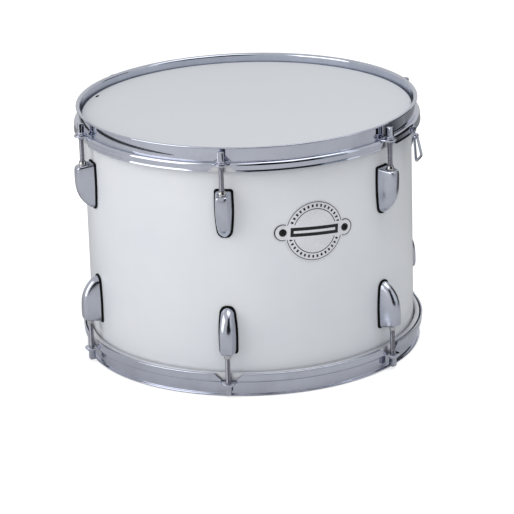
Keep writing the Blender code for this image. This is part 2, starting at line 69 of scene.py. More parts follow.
# %% Camera
CAMERA_AZIMUTH = -21.57
CAMERA_HEIGHT = 19.38
CAMERA_ROLL = radians(1.75)
CAMERA_DISTANCE = 3.0391
CAMERA_LENS = 192.9
CAMERA_AIM = (0.0062, 0.08990)      # to the right of the drum's axis, and above the floor

back = towards(CAMERA_AZIMUTH, CAMERA_HEIGHT)
level = towards(CAMERA_AZIMUTH + 90, 0)
upright = back.cross(level)
side = level * cos(CAMERA_ROLL) - upright * sin(CAMERA_ROLL)
top = level * sin(CAMERA_ROLL) + upright * cos(CAMERA_ROLL)
eye = level * CAMERA_AIM[0] + Vector((0, 0, CAMERA_AIM[1])) + back * CAMERA_DISTANCE

lens = bpy.data.cameras.new("camera")
lens.lens = CAMERA_LENS
lens.sensor_width = 36.0
lens.clip_end = 50.0
camera = add("camera", lens)
pose = Matrix((side, top, back)).transposed().to_4x4()
pose.translation = eye
camera.matrix_world = pose
bpy.context.scene.camera = camera
print("camera", [round(v, 3) for v in eye])

# %% [markdown]
# ## Sizes
#
# All lengths are in metres. Heights are measured from the middle of the shell, so that both ends
# of the drum can share one set of numbers, and the whole is lifted by RIM when it is set down.

# %% Sizes of the turned pieces
RIM = 0.1366
SHELL_RADIUS = 0.1778
SHELL_END = 0.127
WRAP = 0.0004
SHELL_WALL = 0.0074
FILM_TOP = 0.1276
FILM = 0.0003
SHEET = 0.0018
WALL_OUTER = 0.1820
LIP_OUTER = 0.1850
LEDGE_TOP = 0.1211
SKIRT_OUTER = 0.1871
SKIRT_LOW = 0.1106
ROD_CIRCLE = 0.1895
LUG_ANGLES = [30.0, 90.0, 150.0, 210.0, 270.0, 330.0]
ON_AXIS = 0.00001       # radius of a point that stands for one on the axis
print("drum", round(2 * RIM * 1000, 1), "mm tall,", round(2 * SHELL_RADIUS * 1000, 1), "mm shell")

# %% [markdown]
# ## Helpers for shapes
#
# Most pieces are turned: an outline of (radius, height) points goes once round the axis. A grid of
# quads is simple to write and gives clean smooth shading. The others are lofts, which are also
# grids, or plates cut by Booleans. Every finished mesh is shaded smooth, with its hard edges
# marked by angle.

# %% Grids and turned shapes
def smooth(mesh, sharp=32.0):
    mesh.shade_smooth()
    mesh.set_sharp_from_angle(angle=radians(sharp))
    return mesh


def woven(rows, wrap_rows, wrap_columns):
    """Quads between rows of points; all rows hold the same count of points."""
    cage = bmesh.new()
    made = [[cage.verts.new(point) for point in row] for row in rows]
    pairs = list(zip(made, made[1:]))
    if wrap_rows:
        pairs.append((made[-1], made[0]))
    for upper, lower in pairs:
        count = len(upper)
        for index in range(count if wrap_columns else count - 1):
            after = (index + 1) % count
            cage.faces.new((upper[index], lower[index], lower[after], upper[after]))
    return cage, made


def from_cage(name, cage, sharp):
    bmesh.ops.recalc_face_normals(cage, faces=cage.faces)
    mesh = bpy.data.meshes.new(name)
    cage.to_mesh(mesh)
    cage.free()
    return smooth(mesh, sharp)


def grid(name, rows, wrap_rows=False, wrap_columns=True, caps=False, sharp=32.0):
    cage, made = woven(rows, wrap_rows, wrap_columns)
    if caps:
        cage.faces.new(made[0])
        cage.faces.new(made[-1])
    return from_cage(name, cage, sharp)


def on_circle(radius, a, level):
    return (radius * sin(a), -radius * cos(a), level)


def whole_turn(steps):
    return [2 * pi * index / steps for index in range(steps)]


def turned(name, outline, steps=216, closed=True):
    """Turn an outline of (radius, height) points; an open one gets a disc at each end."""
    rows = [[on_circle(radius, a, level) for a in whole_turn(steps)] for radius, level in outline]
    return grid(name, rows, wrap_rows=closed, caps=not closed)


def pin(name, radius, half_length, steps=32):
    return turned(name, [(radius, half_length), (radius, -half_length)], steps, closed=False)


print("grid helpers ready")

# %% [markdown]
# An outline is a list of points: bends are arcs, corners are rounded off, and the other side of a
# sheet is the same path moved sideways.

# %% Outlines
def arc(centre, radius, start, end, count):
    angles = [radians(start + (end - start) * index / count) for index in range(count + 1)]
    return [(centre[0] + radius * cos(a), centre[1] + radius * sin(a)) for a in angles]


def curve(start, corner, end, count):
    """Points of a curve that leaves and arrives along the two sides of a corner."""
    points = []
    for step in range(count + 1):
        t = step / count
        blend = start * (1 - t) ** 2 + corner * 2 * t * (1 - t) + end * t * t
        points.append((blend.x, blend.y))
    return points


def rounded(corners, radius, count=4):
    """A closed outline with each of its corners replaced by a curve."""
    outline = []
    for index, corner in enumerate(corners):
        here = Vector(corner)
        before = Vector(corners[index - 1]) - here
        after = Vector(corners[(index + 1) % len(corners)]) - here
        reach = min(radius, before.length * 0.45, after.length * 0.45)
        outline += curve(here + before.normalized() * reach, here,
                         here + after.normalized() * reach, count)
    return outline


def section(outer, inner, high, low):
    """The corners of the section of a flat ring."""
    return [(outer, high), (outer, low), (inner, low), (inner, high)]


def oblong(half_x, half_y):
    return [(-half_x, -half_y), (half_x, -half_y), (half_x, half_y), (-half_x, half_y)]


def beside(path, distance):
    """An open path moved sideways, or to its other side by a negative distance."""
    last = len(path) - 1
    moved = []
    for index, (x, y) in enumerate(path):
        along = Vector(path[min(index + 1, last)]) - Vector(path[max(index - 1, 0)])
        along.normalize()
        moved.append((x + along.y * distance, y - along.x * distance))
    return moved


def tell(*meshes):
    """Print what a cell has made."""
    print(", ".join("%s with %d points" % (mesh.name, len(mesh.vertices)) for mesh in meshes))


print("shape helpers ready")

# %% [markdown]
# ## Helpers for solid cuts
#
# The ears of the hoop and the holes in the casings are cut with Booleans, as a press or a drill
# would cut them. The result is read back as a plain mesh, so that no cutter stays in the scene.

# %% Cuts and joins
def worked(mesh, kind, name, sharp, **settings):
    """The mesh after one modifier, as a plain mesh."""
    base = add(name, mesh)
    step = base.modifiers.new(name, kind)
    for key, value in settings.items():
        setattr(step, key, value)
    graph = bpy.context.evaluated_depsgraph_get()
    result = bpy.data.meshes.new_from_object(base.evaluated_get(graph))
    result.name = name
    bpy.data.objects.remove(base, do_unlink=True)
    return smooth(result, sharp)


def cut(mesh, tool, operation, name, sharp=32.0):
    cutter = add(name + "_tool", tool)
    result = worked(mesh, "BOOLEAN", name, sharp, operation=operation, solver="EXACT",
                    object=cutter)
    bpy.data.objects.remove(cutter, do_unlink=True)
    return result


def softened(mesh, width, name, sharp=32.0, limit=60.0):
    """The mesh with its hard edges rounded by a bevel."""
    return worked(mesh, "BEVEL", name, sharp, width=width, segments=2, limit_method="ANGLE",
                  angle_limit=radians(limit), harden_normals=False)


def gathered(meshes, name, sharp=32.0):
    """Several meshes, each with a place, as one mesh."""
    cage = bmesh.new()
    for mesh, place in meshes:
        copy = mesh.copy()
        copy.transform(place)
        cage.from_mesh(copy)
        bpy.data.meshes.remove(copy)
    result = bpy.data.meshes.new(name)
    cage.to_mesh(result)
    cage.free()
    return smooth(result, sharp)


def at(x, y, z):
    return Matrix.Translation((x, y, z))


def around(angle, axis="Z"):
    return Matrix.Rotation(radians(angle), 4, axis)


def facing(y, z=0.0):
    """Lays a piece down with its top outwards, and moves it to y and z."""
    return at(0, y, z) @ around(90, "X")


def prism(name, points, depth):
    """A flat outline in XY made depth thick, its middle at z = 0."""
    rows = [[(x, y, depth / 2) for x, y in points], [(x, y, -depth / 2) for x, y in points]]
    return grid(name, rows, caps=True)


print("cutting helpers ready")

# %% [markdown]
# ## Where a piece goes
#
# One function sets every piece down. It gives the piece its finish, lifts it from mid height, turns
# the lower end's pieces over about X, hangs the piece on an empty for the body that carries it, and
# hides the CAD node that it stands for. Copies share one mesh, so twelve lugs cost no more to model
# than one.

# %% Setting down
LIFT = at(0, 0, RIM)
TURN_OVER = around(180, "X")


def set_down(name, mesh, finish, body, node, angle=0.0, lower=False):
    """Put a piece in its place; the lower end's pieces are turned over."""
    piece = add(name, mesh)
    if not mesh.materials:
        mesh.materials.append(finish)
    if lower:
        piece.matrix_world = LIFT @ TURN_OVER @ around(180 - angle)
    else:
        piece.matrix_world = LIFT @ around(angle)
    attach(piece, body)
    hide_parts(node)


# %% [markdown]
# ## Finishes
#
# A finish starts from a Principled shader with constants for what is the same everywhere. What
# changes over the surface comes from small shared groups. This first group gives the marks that
# hands and cloths leave on any smooth surface: broad smears and fine hairlines.

# %% Node helpers
def feed(socket, value):
    """Join a socket to another one, or give it a constant."""
    if hasattr(value, "links"):
        socket.id_data.links.new(value, socket)
    elif socket.type == "RGBA":
        socket.default_value = (*value, 1.0)
    else:
        socket.default_value = value


def set_up(item, **settings):
    """Feed the inputs of a node by their names; what is no input is a setting."""
    for key, value in settings.items():
        if key.replace("_", " ") in item.inputs:
            feed(item.inputs[key.replace("_", " ")], value)
        else:
            setattr(item, key, value)
    return item


def new_finish(name, colour, roughness, metallic=0.0, **fixed):
    finish = bpy.data.materials.new(name)
    finish.use_nodes = True
    finish.diffuse_color = (*colour, 1.0)
    shader = finish.node_tree.nodes["Principled BSDF"]
    set_up(shader, Base_Color=colour, Roughness=roughness, Metallic=metallic, **fixed)
    return finish, shader


def node(near, kind, **settings):
    """A new node in the tree that near is part of."""
    return set_up(near.id_data.nodes.new(kind), **settings)


def spread(value, low, high, from_low=0.0, from_high=1.0):
    """Map a value linearly from one range to another."""
    return node(value, "ShaderNodeMapRange", Value=value, From_Min=from_low, From_Max=from_high,
                To_Min=low, To_Max=high).outputs["Result"]


def mixed(mask, first, second):
    """Colour that goes from first to second where the mask is 1."""
    item = node(mask, "ShaderNodeMix", data_type="RGBA", Factor=mask)
    feed(item.inputs[6], first)
    feed(item.inputs[7], second)
    return item.outputs[2]


def bumped(shader, height_value, strength, distance):
    bump = node(shader, "ShaderNodeBump", Strength=strength, Distance=distance,
                Height=height_value)
    set_up(shader, Normal=bump.outputs["Normal"])


print("node helpers ready")

# %% Helpers for sums and patterns
def maths(operation, first, second=0.0):
    item = node(first if hasattr(first, "links") else second, "ShaderNodeMath",
                operation=operation)
    feed(item.inputs[0], first)
    feed(item.inputs[1], second)
    return item.outputs[0]


def plus(first, second):
    return maths("ADD", first, second)


def minus(first, second):
    return maths("SUBTRACT", first, second)


def times(first, second):
    return maths("MULTIPLY", first, second)


def larger(first, second):
    return maths("MAXIMUM", first, second)


def distance(across, up):
    return maths("SQRT", plus(times(across, across), times(up, up)))


def own_place(near):
    return node(near, "ShaderNodeTexCoord").outputs["Object"]


def stretched(place, scale, rotation=(0.0, 0.0, 0.0)):
    return node(place, "ShaderNodeMapping", Vector=place, Scale=scale,
                Rotation=rotation).outputs["Vector"]


def noise(place, scale, detail, roughness):
    return node(place, "ShaderNodeTexNoise", Vector=place, Scale=scale, Detail=detail,
                Roughness=roughness).outputs["Fac"]


def shared_group(name, inputs, outputs):
    """A node group, with the sockets that it takes from and the sockets that it puts out by."""
    tree = bpy.data.node_groups.new(name, "ShaderNodeTree")
    for key, default in inputs:
        socket = tree.interface.new_socket(key, in_out="INPUT", socket_type="NodeSocketFloat")
        socket.default_value = default
    for key in outputs:
        tree.interface.new_socket(key, in_out="OUTPUT", socket_type="NodeSocketFloat")
    return tree, tree.nodes.new("NodeGroupInput").outputs, tree.nodes.new("NodeGroupOutput")


def use_group(near, group, **settings):
    return node(near, "ShaderNodeGroup", node_tree=group, **settings).outputs


print("pattern helpers ready")

# %% Handling marks
handling, given, put_out = shared_group(
    "Handling Marks", [("Smear Scale", 12.0), ("Hairline Scale", 260.0), ("Roughness", 0.2),
                       ("Spread", 0.08)], ["Roughness", "Smear", "Height"])
place = own_place(handling)
smear = noise(place, given["Smear Scale"], 3.0, 0.6)
drawn_out = stretched(place, (1.0, 1.0, 0.06), (0.3, 0.5, 0.0))
hairline = noise(drawn_out, given["Hairline Scale"], 2.0, 0.5)
shift = times(minus(smear, 0.5), given["Spread"])
set_up(put_out, Roughness=plus(shift, given["Roughness"]), Smear=smear, Height=hairline)


def handled(shader, roughness, amount, smear_scale, hairline_scale=260.0):
    """Handling marks that also set how rough the surface is."""
    marks = use_group(shader, handling, Roughness=roughness, Spread=amount,
                      Smear_Scale=smear_scale, Hairline_Scale=hairline_scale)
    set_up(shader, Roughness=marks["Roughness"])
    return marks


print("group", handling.name)

# %% [markdown]
# The second shared group is a fine grain of small bumps. On the batter head it is the sprayed
# coating, and on rubber it is the moulded surface.

# %% Fine grain
grain, given, put_out = shared_group(
    "Fine Grain", [("Scale", 900.0), ("Contrast", 0.5)], ["Mask", "Height"])
cells = noise(own_place(grain), given["Scale"], 4.0, 0.7)
contrast = times(minus(cells, 0.5), given["Contrast"])
set_up(put_out, Mask=plus(contrast, 0.5), Height=cells)
print("group", grain.name)

# %% [markdown]
# ### Chrome, nickel and steel
#
# Plated metal has hardly any colour of its own, so it is a faintly blue grey mirror, and what
# makes it look like chrome is the dark and light things round it. The plate is a little less
# smooth where it has been handled. The rods are the same plate, dulled by their thread.

# %% Metals
def plated(name, colour, roughness, amount, bump_strength=0.05):
    finish, shader = new_finish(name, colour, roughness, 1.0)
    marks = handled(shader, roughness, amount, 38.0, 700.0)
    haze = spread(marks["Smear"], 0.0, 1.0, 0.45, 0.75)
    dull = tuple(c * 0.88 for c in colour)
    set_up(shader, Base_Color=mixed(haze, colour, dull))
    bumped(shader, marks["Height"], bump_strength, 0.0002)
    return finish


chrome = plated("chrome_plate", (0.53, 0.555, 0.64), 0.02, 0.02, 0.02)
lug_chrome = plated("lug_chrome", (0.515, 0.54, 0.62), 0.16, 0.06, 0.02)
rod_plate = plated("rod_plate", (0.30, 0.30, 0.345), 0.28, 0.12, 0.1)
head_plate = plated("head_plate", (0.49, 0.51, 0.585), 0.09, 0.05, 0.05)
nickel = plated("nut_nickel", (0.56, 0.555, 0.57), 0.14, 0.06)
channel = plated("rolled_aluminium", (0.72, 0.73, 0.76), 0.38, 0.15, 0.1)
print("metals:", chrome.name, lug_chrome.name, rod_plate.name, head_plate.name, nickel.name)

# %% [markdown]
# ### White wrap and coated film
#
# The shell is covered with a thin sheet of white plastic: glossy, very slightly wavy from the glue
# below it. The batter head is a film with a sprayed white coating, which is matt and gritty, so it
# shows no highlight at all.

# %% Wrap, film and plies
wrap_white, shader = new_finish("white_wrap", (0.72, 0.74, 0.78), 0.30, Coat_Weight=0.25,
                                Coat_Roughness=0.12)
marks = handled(shader, 0.32, 0.10, 9.0, 500.0)
cloud = spread(marks["Smear"], 0.0, 1.0, 0.3, 0.7)
set_up(shader, Base_Color=mixed(cloud, (0.70, 0.725, 0.77), (0.74, 0.755, 0.785)))
bumped(shader, marks["Smear"], 0.06, 0.002)


def film_finish(name, pale, dark, roughness, grit):
    finish, shader = new_finish(name, pale, roughness)
    speck = use_group(shader, grain, Scale=1400.0, Contrast=1.2)
    set_up(shader, Base_Color=mixed(speck["Mask"], dark, pale))
    handled(shader, roughness, 0.12, 6.0)
    bumped(shader, speck["Height"], grit, 0.0004)
    return finish


coated_film = film_finish("coated_film", (0.66, 0.69, 0.725), (0.60, 0.625, 0.66), 0.62, 0.35)
smooth_film = film_finish("smooth_film", (0.70, 0.71, 0.72), (0.67, 0.68, 0.69), 0.35, 0.08)

plies, shader = new_finish("maple_plies", (0.55, 0.40, 0.24), 0.55)
fibre = noise(stretched(own_place(shader), (1.0, 1.0, 9.0)), 45.0, 6.0, 0.65)
set_up(shader, Base_Color=mixed(fibre, (0.46, 0.31, 0.17), (0.66, 0.50, 0.31)))
bumped(shader, fibre, 0.2, 0.0003)
print("finishes:", wrap_white.name, coated_film.name, smooth_film.name, plies.name)

# %% [markdown]
# ### Rubber and black screws
#
# The gaskets are soft black rubber. They show as a dark outline round each lug. The screws of the
# badge are blackened steel.

# %% Rubber and black steel
rubber, shader = new_finish("gasket_rubber", (0.003, 0.003, 0.004), 0.7, Specular_IOR_Level=0.12)
skin = use_group(shader, grain, Scale=1800.0, Contrast=0.8)
set_up(shader, Base_Color=mixed(skin["Mask"], (0.002, 0.002, 0.003), (0.005, 0.005, 0.006)))
bumped(shader, skin["Height"], 0.2, 0.0002)

black_steel, shader = new_finish("black_steel", (0.006, 0.006, 0.008), 0.35,
                                 Specular_IOR_Level=0.35)
bumped(shader, handled(shader, 0.38, 0.2, 90.0)["Height"], 0.1, 0.0001)
print("finishes:", rubber.name, black_steel.name)

# %% [markdown]
# ## Shell
#
# A drum shell is rolled from thin plies, and its two ends are cut to a bearing edge: a flat peak
# with a long bevel inside and a short round-over outside. The plies and the white wrap are made as
# two turned rings, so the wrap ends short of the bearing edge as it does on the real drum. The
# vent hole goes through both.

# %% Shell and wrap
inner = SHELL_RADIUS - SHELL_WALL
ply_radius = SHELL_RADIUS - WRAP - 0.00005
peak = SHELL_RADIUS - 0.0018
bevel = peak - 0.001 - inner
wrap_end = SHELL_END - 0.0030
edge = [(inner, SHELL_END - bevel), (peak - 0.001, SHELL_END), (peak, SHELL_END),
        (peak + 0.0007, SHELL_END - 0.0006), (ply_radius - 0.0003, SHELL_END - 0.0017),
        (ply_radius, wrap_end)]
shell_outline = edge + [(radius, -level) for radius, level in reversed(edge)]
vent_tool = pin("vent", 0.0060, 0.02, 40)
vent_tool.transform(facing(SHELL_RADIUS))
shell = cut(turned("shell_plies", shell_outline), vent_tool, "DIFFERENCE", "shell_plies")
set_down("shell_plies", shell, plies, "drum", "shell")

wrap_outline = rounded(section(SHELL_RADIUS, SHELL_RADIUS - WRAP, wrap_end, -wrap_end), 0.00015, 2)
wrap = cut(turned("shell_wrap", wrap_outline, 360), vent_tool, "DIFFERENCE", "shell_wrap")
set_down("shell_wrap", wrap, wrap_white, "drum", "shell")
tell(shell, wrap)

# %% [markdown]
# The wrap meets itself in an overlap, which makers put at the back where nobody looks. It is a
# narrow strip that lies on the wrap with a soft edge. The vent hole is lined with a rolled metal
# grommet, which is a small turned ring laid on its side.

# %% Wrap seam and grommet
SEAM_WIDTH = 0.014
SEAM_THICKNESS = 0.0003
SEAM_ANGLE = 187.0
on_wrap = SHELL_RADIUS + 0.00002
under_wrap = SHELL_RADIUS * 0.9999


def seam_row(radius, level, rise=0.0):
    """Points across the seam; all but the two at its long edges are raised."""
    angles = [(index / 8 - 0.5) * SEAM_WIDTH / SHELL_RADIUS for index in range(9)]
    return [on_circle(radius + (rise if 0 < index < 8 else 0.0), a, level)
            for index, a in enumerate(angles)]


seam_rows = [seam_row(on_wrap, wrap_end)]
seam_rows += [seam_row(on_wrap, level, SEAM_THICKNESS)
              for level in (wrap_end - 0.0003, 0.0, 0.0003 - wrap_end)]
seam_rows += [seam_row(on_wrap, -wrap_end), seam_row(under_wrap, -wrap_end),
              seam_row(under_wrap, wrap_end)]
seam = grid("wrap_seam", seam_rows, wrap_rows=True, wrap_columns=False)
set_down("wrap_seam", seam, wrap_white, "drum", "shell", SEAM_ANGLE)

grommet_outline = rounded([(0.0056, 0.0012), (0.0095, 0.0012), (0.0095, 0.0), (0.0059, 0.0),
                           (0.0059, -0.0082), (0.0075, -0.0082), (0.0075, -0.0090),
                           (0.0052, -0.0090)], 0.0006, 3)
grommet = turned("vent_grommet", grommet_outline, 48)
grommet.transform(facing(-SHELL_RADIUS - 0.0002))
set_down("vent_grommet", grommet, chrome, "drum", "shell", 180.0)
tell(seam, grommet)

# %% [markdown]
# ## Heads
#
# Each head is one thin film, formed with a step round its edge: flat across the shell, over the
# bearing edge, down the collar, and out into the aluminium channel that the hoop presses on. The
# film keeps its real thickness, because the light edge between hoop and shell is what shows.

# %% Film and flesh hoop
collar = SHELL_RADIUS + 0.0006 + FILM
channel_inner = SHELL_RADIUS + 0.0014
channel_outer = channel_inner + 0.0052
channel_top = 0.1184
film_path = [(0.0008, FILM_TOP), (0.06, FILM_TOP), (0.12, FILM_TOP), (0.165, FILM_TOP)]
film_path += arc((0.17645, FILM_TOP - 0.0022), 0.0022, 90, 25, 5)
film_path += [(collar, FILM_TOP - 0.0042), (collar + 0.0001, channel_top + 0.0016)]
film_path += arc((channel_inner + 0.0012, channel_top + 0.0015), 0.0009, 180, 270, 4)
film_path += [(channel_outer - 0.0006, channel_top + 0.0006)]
film_outline = [(ON_AXIS, FILM_TOP)] + film_path + beside(film_path, FILM)[::-1]
film_outline += [(ON_AXIS, FILM_TOP - FILM)]
film = turned("head_film", film_outline, closed=False)
ring_outline = rounded(section(channel_outer, channel_inner, channel_top, channel_top - 0.0080),
                       0.0009, 3)
ring = turned("flesh_hoop", ring_outline)
set_down("batter_film", film.copy(), coated_film, "drum", "batter_head")
set_down("resonant_film", film, smooth_film, "drum", "resonant_head", lower=True)
set_down("batter_channel", ring, channel, "drum", "batter_flesh_hoop")
set_down("resonant_channel", ring, channel, "drum", "resonant_flesh_hoop", lower=True)
tell(film, ring)

# %% [markdown]
# One short black dash is printed on the batter film close to its edge. It is made as a thin oval
# that lies on the film.

# %% Dash on the film
DASH_CIRCLE = 0.1727
DASH_ANGLE = -129.7
DASH_HALF = (0.0042, 0.0015)
dash = prism("edge_dash", [(DASH_HALF[0] * cos(a), DASH_HALF[1] * sin(a) - DASH_CIRCLE)
                           for a in whole_turn(32)], 0.0001)
dash.transform(at(0, 0, FILM_TOP + 0.00003))
set_down("edge_dash", dash, rubber, "drum", "batter_head", DASH_ANGLE)
tell(dash)

# %% [markdown]
# ## Hoops
#
# A pressed hoop is one strip of steel with three bends: a lip turned outwards at the rim, a ledge
# that stands out below it, and a skirt that hangs from the ledge. Its outline is drawn as the
# middle line of the sheet with an arc at each bend, and then given the sheet's thickness on both
# sides, so the bends look pressed and not machined. The free edge of the skirt is flared a little,
# which stiffens it, and the flare catches a bright or a dark line along the whole hoop.

# %% Sheet outline
LIP_BEND = 0.0016
WALL_BEND = 0.0014
LEDGE_BEND = 0.0026
FLARE_BEND = 0.0055
lip_level = RIM - SHEET / 2
ledge_level = LEDGE_TOP - SHEET / 2
wall = WALL_OUTER - SHEET / 2
skirt = SKIRT_OUTER - SHEET / 2
middle = [(LIP_OUTER - SHEET / 2, lip_level)]
middle += arc((wall + LIP_BEND, lip_level - LIP_BEND), LIP_BEND, 90, 180, 6)
middle += [(wall, lip_level - 0.0020), (wall, ledge_level + 0.0018)]
middle += arc((wall + WALL_BEND, ledge_level + WALL_BEND), WALL_BEND, 180, 270, 6)
middle += arc((skirt - LEDGE_BEND, ledge_level - LEDGE_BEND), LEDGE_BEND, 90, 0, 10)
middle += [(skirt, ledge_level - 0.0030), (skirt, SKIRT_LOW + 0.0035)]
middle += arc((skirt + FLARE_BEND, SKIRT_LOW + 0.0031), FLARE_BEND, 180, 208, 6)


def round_end(last, before):
    """Points over the end of the sheet, whose middle line comes from before to last."""
    along = (Vector(last) - Vector(before)).normalized()
    across = Vector((along.y, -along.x))
    return [tuple(Vector(last) + across * cos(pi * step / 6) * SHEET / 2
                  + along * sin(pi * step / 6) * SHEET * 0.3) for step in range(1, 6)]


hoop_outline = beside(middle, SHEET / 2) + round_end(middle[-1], middle[-2])
hoop_outline += beside(middle, -SHEET / 2)[::-1] + round_end(middle[0], middle[1])
hoop = turned("hoop", hoop_outline, 288)
tell(hoop)

# %% [markdown]
# Six ears carry the rods. At each one the skirt is cut away in a wide V and the ledge runs on
# outwards as a rounded tab with a hole. The V is a Boolean difference, the tab a union, and the
# hole a second difference. The tab's edges are softened first, as a press leaves them.

# %% Ears, gaps and holes
EAR_REACH = 0.0075
EAR_HALF = 0.0095
EAR_HOLE = 0.0031
root = -(SKIRT_OUTER - SHEET - 0.0024)
ear_points = [(-EAR_HALF, root), (-EAR_HALF, root - 0.0022)]
ear_points += [(x, y - ROD_CIRCLE) for x, y in arc((0, 0), EAR_REACH, 190, 350, 24)]
ear_points += [(EAR_HALF, root - 0.0022), (EAR_HALF, root)]
ear = softened(prism("ear", ear_points, SHEET + 0.0001), 0.0004, "ear")
half_notch = [(0.0074, ledge_level), (0.0078, LEDGE_TOP - SHEET), (0.0092, LEDGE_TOP - 0.0044)]
half_notch += [(0.0128, SKIRT_LOW + 0.0032), (0.0134, SKIRT_LOW + 0.0020),
               (0.0142, SKIRT_LOW + 0.0011), (0.0152, SKIRT_LOW + 0.0004),
               (0.0164, SKIRT_LOW), (0.0166, SKIRT_LOW - 0.0022)]
notch = prism("notch", [(-x, level) for x, level in half_notch] + half_notch[::-1], 0.016)
notch.transform(facing(-SKIRT_OUTER - 0.0035))
hole = pin("hole", EAR_HOLE, 0.01)
hole.transform(at(0, -ROD_CIRCLE, LEDGE_TOP))
ear.transform(at(0, 0, ledge_level))
for tool, operation, sharp in ((notch, "DIFFERENCE", 32.0), (ear, "UNION", 32.0),
                               (hole, "DIFFERENCE", 38.0)):
    six = gathered([(tool, around(a)) for a in LUG_ANGLES], "six_" + tool.name)
    hoop = cut(hoop, six, operation, "hoop", sharp)
set_down("upper_hoop", hoop, chrome, "top_hoop_set", "top_hoop")
set_down("lower_hoop", hoop, chrome, "bottom_hoop_set", "bottom_hoop", lower=True)
tell(hoop)

# %% [markdown]
# ## Lug casings
#
# A lug casing is a hollow casting. From the open end it keeps its width, then narrows, and its
# front falls back to the shell in a long curve. The open end is cut with a slant, so the front edge
# is a little shorter than the back, and the front leans in a little there. Its sides are flat and
# lean in towards a narrower, slightly crowned front, with a rounding between them that catches a
# bright streak and widens towards the tip. It is lofted from rings of that outline and hollowed
# with a smaller copy of itself.

# %% Width, depth and section of a casing
LUG_OPEN = SHELL_END - 0.0380
LUG_LENGTH = 0.0500
LUG_BACK = SHELL_RADIUS + 0.0021
LUG_HALF = 0.0090
LUG_REACH = 0.0183
LUG_TIP = 0.0014        # how far the tip stands out
LUG_FRONT = 0.73        # width of the front, as a share of the back
LUG_SLANT = 0.0024


def lug_half(share):
    if share < 0.42:
        return LUG_HALF * (1 - 0.05 * ((0.42 - share) / 0.42) ** 2)
    u = (share - 0.42) / 0.58
    v = max(0.0, (share - 0.87) / 0.13)
    return LUG_HALF * (1 - 0.31 * u ** 1.7) * sqrt(max(0.0, 1 - v * v))


def lug_depth(share):
    u = max(0.0, share - 0.25) / 0.75
    lean = 0.04 * (max(0.0, 0.25 - share) / 0.25) ** 2
    return LUG_TIP + (LUG_REACH - LUG_TIP) * (max(0.0, 1 - u ** 3) ** 0.9 - lean)


def lug_outline(half, reach, foot, corner_size, crown, turns):
    """Half of a section, from the foot over the side and its corner to the middle of the front."""
    face = half * LUG_FRONT
    crown = min(crown, 0.4 * (reach - foot))
    side_height = reach - crown - foot
    lean = Vector((half - face, -side_height))
    trim = min(corner_size, 0.6 * face, 0.45 * lean.length)
    low = Vector((face, reach - crown)) + lean.normalized() * trim
    high = Vector((face - trim, reach - crown * (1 - trim / face) ** 2))
    fall = -2 * crown * high.x / face ** 2
    reached = (high.y + fall * (half - high.x) - foot) / (side_height - fall * (face - half))
    corner = Vector((half + (face - half) * reached, foot + side_height * reached))
    points = [(half, foot), (half + (low.x - half) * 0.5, foot + (low.y - foot) * 0.5)]
    points += curve(low, corner, high, turns)
    points += [(high.x * part, reach - crown * (high.x * part / face) ** 2)
               for part in (0.75, 0.5, 0.25)]
    return points


print("casing", LUG_LENGTH * 1000, "mm long")

# %% [markdown]
# The rings stand close together round the open edge, which is rounded, and at the tip, where the
# front falls steeply. Both the casing and its hollow come from this one function.

# %% Casing
def lug_rings(inset, foot, edge_radius, levels, corner_size, turns):
    rows = []
    shares = []
    for step in range(7):
        a = radians(90 * step / 6)
        shares.append((0.0, edge_radius * (1 - sin(a)), edge_radius * (1 - cos(a))))
    for step in range(1, levels + 1):
        share = 0.06 + 0.94 * (1 - (1 - step / levels) ** 1.5)
        shares.append((min(share, 0.999), 0.0, None))
    for share, shrink, drop in shares:
        half = max(lug_half(share) - inset - shrink * 0.8, 0.0003)
        depth = max(lug_depth(share) - inset - shrink, foot + 0.0003)
        level = -inset - (drop if drop is not None else share * (LUG_LENGTH - 2 * inset))
        outline = lug_outline(half, depth, foot, corner_size * (1 + 0.9 * share),
                              0.0005 + 0.0016 * share, turns)
        full = outline + [(0, depth)] + [(-x, y) for x, y in reversed(outline)]
        slant = LUG_SLANT * max(0.0, 1 - share / 0.3) / LUG_REACH
        rows.append([(x, -y, level - slant * max(y, 0.0)) for x, y in full])
    return rows


casing = grid("casing", lug_rings(0.0, 0.0, 0.0024, 30, 0.0028, 8), caps=True, sharp=50.0)
hollow = grid("hollow", lug_rings(0.0016, -0.002, 0.0010, 14, 0.0016, 4), caps=True)
bore = pin("bore", 0.0051, 0.004)
bore.transform(at(0, LUG_BACK - ROD_CIRCLE, 0))
for tool in (hollow, bore):
    casing = cut(casing, tool, "DIFFERENCE", "casing", sharp=50.0)
casing.transform(at(0, -LUG_BACK, LUG_OPEN))
tell(casing)

# %% [markdown]
# The rubber gasket has the casing's outline with a small margin, and it is curved to the shell, so
# that no light passes behind it. It is a grid of points on two cylinders that follow the outline,
# closed along its two long sides.

# %% Gasket
MARGIN = 0.0014
CORNER = 0.0026
GASKET_SHARES = [0.0, 0.004, 0.011, 0.022, 0.042, 0.1, 0.22, 0.34, 0.46, 0.56, 0.66, 0.74, 0.81,
                 0.86, 0.90, 0.93, 0.955, 0.975, 0.99, 0.999]


def gasket_row(share, radius):
    half = lug_half(share) + MARGIN
    down = share * (LUG_LENGTH + 2 * MARGIN)
    if down < CORNER:
        half -= CORNER - sqrt(CORNER ** 2 - (CORNER - down) ** 2)
    places = [half * (index / 6 - 1) for index in range(13)]
    return [(x, -sqrt(radius * radius - x * x), LUG_OPEN + MARGIN - down) for x in places]


